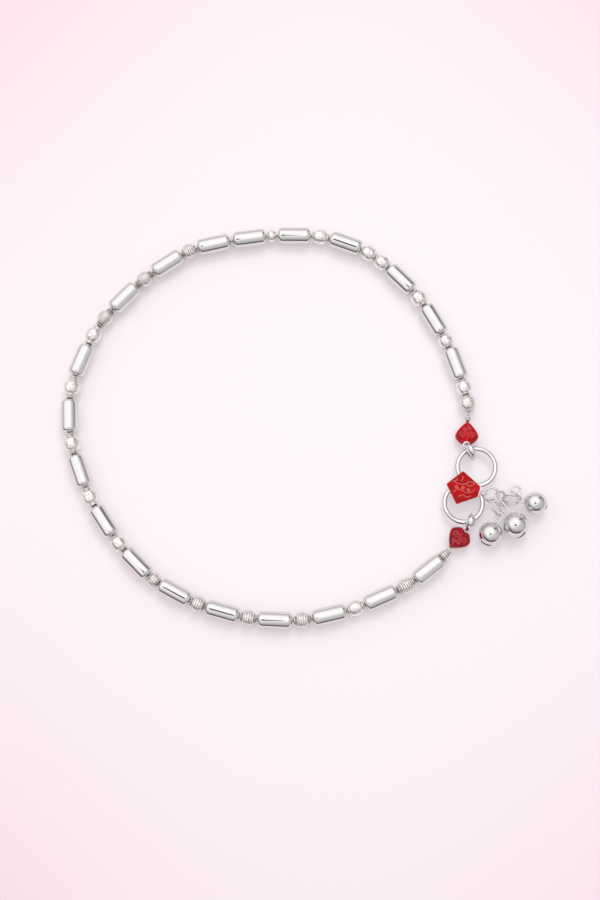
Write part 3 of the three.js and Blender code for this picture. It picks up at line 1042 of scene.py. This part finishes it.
# %% The three bells
for name, radius in BELL_RADIUS.items():
    axes, middle, loop = bell_place(name)
    points, faces = bell_shell(name, radius, (axes, middle))
    centre = middle + axes[:, 0] * (radius + loop / 2 + 0.3 * MM)
    grid = wire_ring(
        centre, axes[:, 0], axes[:, 1], BELL_EYE, LOOP_WIRE, stretch=loop, count=96, sides=14
    )
    more_points, more_faces = skin([grid], is_ring=True)
    faces += [[corner + len(points) for corner in face] for face in more_faces]
    points = np.vstack([points, more_points])
    marks = plain_marks(points)
    bell = piece(name + "_silver", points, faces, polished, name, marks=marks)
    bell.data.set_sharp_from_angle(angle=math.radians(35))
    print(name, "middle", (middle / MM).round(2), "loop", round(loop / MM, 2), "mm")

# %% [markdown]
# ## Stage, light and camera
# The anklet lies on a pale sheet. Polished silver has no colour of its own and shows only
# what stands around it, so the light matters as much as the metal: a white tent overhead
# makes the tops of the beads white, and a dark band low down on the horizon draws the grey
# lines that give them their roundness. The sheet glows faintly, which lightens the shadows.

# %% Floor
SHEET_REACH = 6.0
SHEET_LEVEL = -0.02 * MM
SHEET_PALE = (0.620, 0.581, 0.604, 1)
SHEET_ROSE = (0.605, 0.474, 0.514, 1)
SHEET_GLOW = 0.50


def floor_sheet():
    """A level square, pale in the middle and rosier towards its far and near sides."""
    mesh = bpy.data.meshes.new("floor_sheet")
    turns = ((-1, -1), (1, -1), (1, 1), (-1, 1))
    corners = [(x * SHEET_REACH, y * SHEET_REACH, SHEET_LEVEL) for x, y in turns]
    mesh.from_pydata(corners, [], [(0, 1, 2, 3)])
    material = bpy.data.materials.new("pale_sheet")
    material.use_nodes = True
    tree = material.node_tree
    shader = tree.nodes["Principled BSDF"]
    place = Wire(tree, tree.nodes.new("ShaderNodeTexCoord").outputs["Object"])
    split = place.node("ShaderNodeSeparateXYZ", {0: place}).socket.node.outputs
    aside = (Wire(tree, split["X"]) - 0.006) / 0.060
    along = (Wire(tree, split["Y"]) - 0.001) / 0.090
    aside, along = aside * aside, along * along
    edge = (along * 0.39 + along * aside * 0.40 + aside * 0.13).clamped()
    lit = edge.blend(SHEET_PALE, SHEET_ROSE)
    plug(lit, shader, "Base Color")
    plug(lit, shader, "Emission Color")
    shader.inputs["Emission Strength"].default_value = SHEET_GLOW
    shader.inputs["Roughness"].default_value = 0.7
    mesh.materials.append(material)
    made = bpy.data.objects.new("floor_sheet", mesh)
    bpy.context.scene.collection.objects.link(made)


floor_sheet()

# %% The tent
ROOF_WHITE = 1.34
WALL_WHITE = 0.60
SOUTH_GAP = 0.36
EAST_GAP = 0.22
GROUND_DARK = 0.50
CRESCENT_DARK = 0.8
SEAM_DARK = 0.20
ROOF_HOLE = (-0.15, -0.15, 0.98)
TALL_STAND = (0.50, 0.65, 0.57)
LOW_STAND = (0.60, 0.66, 0.36)


def abs_of(wire):
    return wire.math("ABSOLUTE", wire)


def eased(wire):
    """0 below 0, 1 above 1, and a smooth S between."""
    held = wire.clamped()
    return held * held * (3 - 2 * held)


def tent():
    """A white dome that is brightest towards the north-west, where it comes down almost to
    the ground. Dark in it are a band at the ground, two gaps low in the south and in the
    east, a crescent low in the south-west, a seam high in the south-west, two spots in the
    north-east where stands show through, and a round hole in the roof."""
    world = bpy.data.worlds.new("tent")
    world.use_nodes = True
    tree = world.node_tree
    background = tree.nodes["Background"]
    ray = Wire(tree, tree.nodes.new("ShaderNodeTexCoord").outputs["Generated"])
    split = ray.node("ShaderNodeSeparateXYZ", {0: ray}).socket.node.outputs
    to_east, to_north, height = (Wire(tree, split[axis]) for axis in "XYZ")

    def spot(toward, wide, soft):
        """1 in the direction toward, and 0 more than wide degrees away from it."""
        inputs = {0: ray, 1: unit(np.array(toward))}
        near = ray.node("ShaderNodeVectorMath", inputs, "Value", operation="DOT_PRODUCT")
        edge = math.cos(math.radians(wide))
        return eased((near - edge) / (soft * (1 - edge)))

    level = (1.0001 - height * height) ** 0.5
    climb = height.math("ARCSINE", height) / (math.pi / 2)
    north_west = (to_north * 0.64 - to_east * 0.77) / level
    south_west = (0 - to_north * 0.64 - to_east * 0.77) / level
    rise = eased((climb - 0.30 + north_west * 0.27) / 0.50)
    low_band = (1 - abs_of(climb - 0.17) * 4.2).clamped()
    south = ((0 - to_north * 0.97 - to_east * 0.26) / level - 0.35) / 0.45
    east_gap = spot((0.84, 0.48, 0.24), 30, 0.8)
    gaps = low_band * eased(south) * SOUTH_GAP + east_gap * EAST_GAP
    crescent = (1 - abs_of(climb - 0.09) * 7.5).clamped()
    crescent = crescent * eased((south_west + south * 0.7 - 0.35) * 1.6)
    stand = spot(TALL_STAND, 10, 0.5) * 0.6 + spot(LOW_STAND, 13, 0.6) * 0.38
    walls = WALL_WHITE + climb * 0.25 + (to_north / level).clamped() * 0.10 - gaps
    ground = (1 - abs_of(height - 0.03) * 9).clamped() * GROUND_DARK
    seam = (1 - abs_of(climb - 0.66) * 11).clamped() * (south_west + 0.4).clamped() * SEAM_DARK
    tone = (walls + (ROOF_WHITE - walls) * rise) * (1 - seam) * (1 - ground)
    tone = tone * (1 - crescent * CRESCENT_DARK) * (1 - stand.clamped())
    tone = tone * (1 - spot(ROOF_HOLE, 9.5, 0.3) * 0.98)
    plug(tone, background, "Strength")
    background.inputs["Color"].default_value = (1.0, 0.992, 0.988, 1)
    bpy.context.scene.world = world


tent()

# %% Key light
def soft_box(name, place, size, power):
    """A square light at place that faces the anklet, and that the silver doesn't mirror."""
    light = bpy.data.lights.new(name, "AREA")
    light.shape = "SQUARE"
    light.size = size
    light.energy = power
    made = bpy.data.objects.new(name, light)
    made.location = place
    back = unit(np.array(place))
    made.rotation_euler = (0, math.acos(back[2]), math.atan2(back[1], back[0]))
    made.visible_glossy = False
    bpy.context.scene.collection.objects.link(made)


soft_box("key_box", (0.10, 0.50, 0.70), 0.40, 2.0)

# %% Camera
CAMERA_HEIGHT_ANGLE = math.radians(78.8)
CAMERA_DISTANCE = 291.6 * MM
LENS = 58.32
SENSOR = 36
AIM = np.array([-0.434, -5.088, 0.0]) * MM
camera = bpy.data.objects.new("camera", bpy.data.cameras.new("camera"))
away = np.array([0, -math.cos(CAMERA_HEIGHT_ANGLE), math.sin(CAMERA_HEIGHT_ANGLE)])
camera.location = AIM + CAMERA_DISTANCE * away
camera.rotation_euler = (math.pi / 2 - CAMERA_HEIGHT_ANGLE, 0, 0)
camera.data.lens = LENS
camera.data.sensor_width = SENSOR
camera.data.clip_start = 0.01
bpy.context.scene.collection.objects.link(camera)
bpy.context.scene.camera = camera
bpy.context.scene.view_settings.view_transform = "Standard"
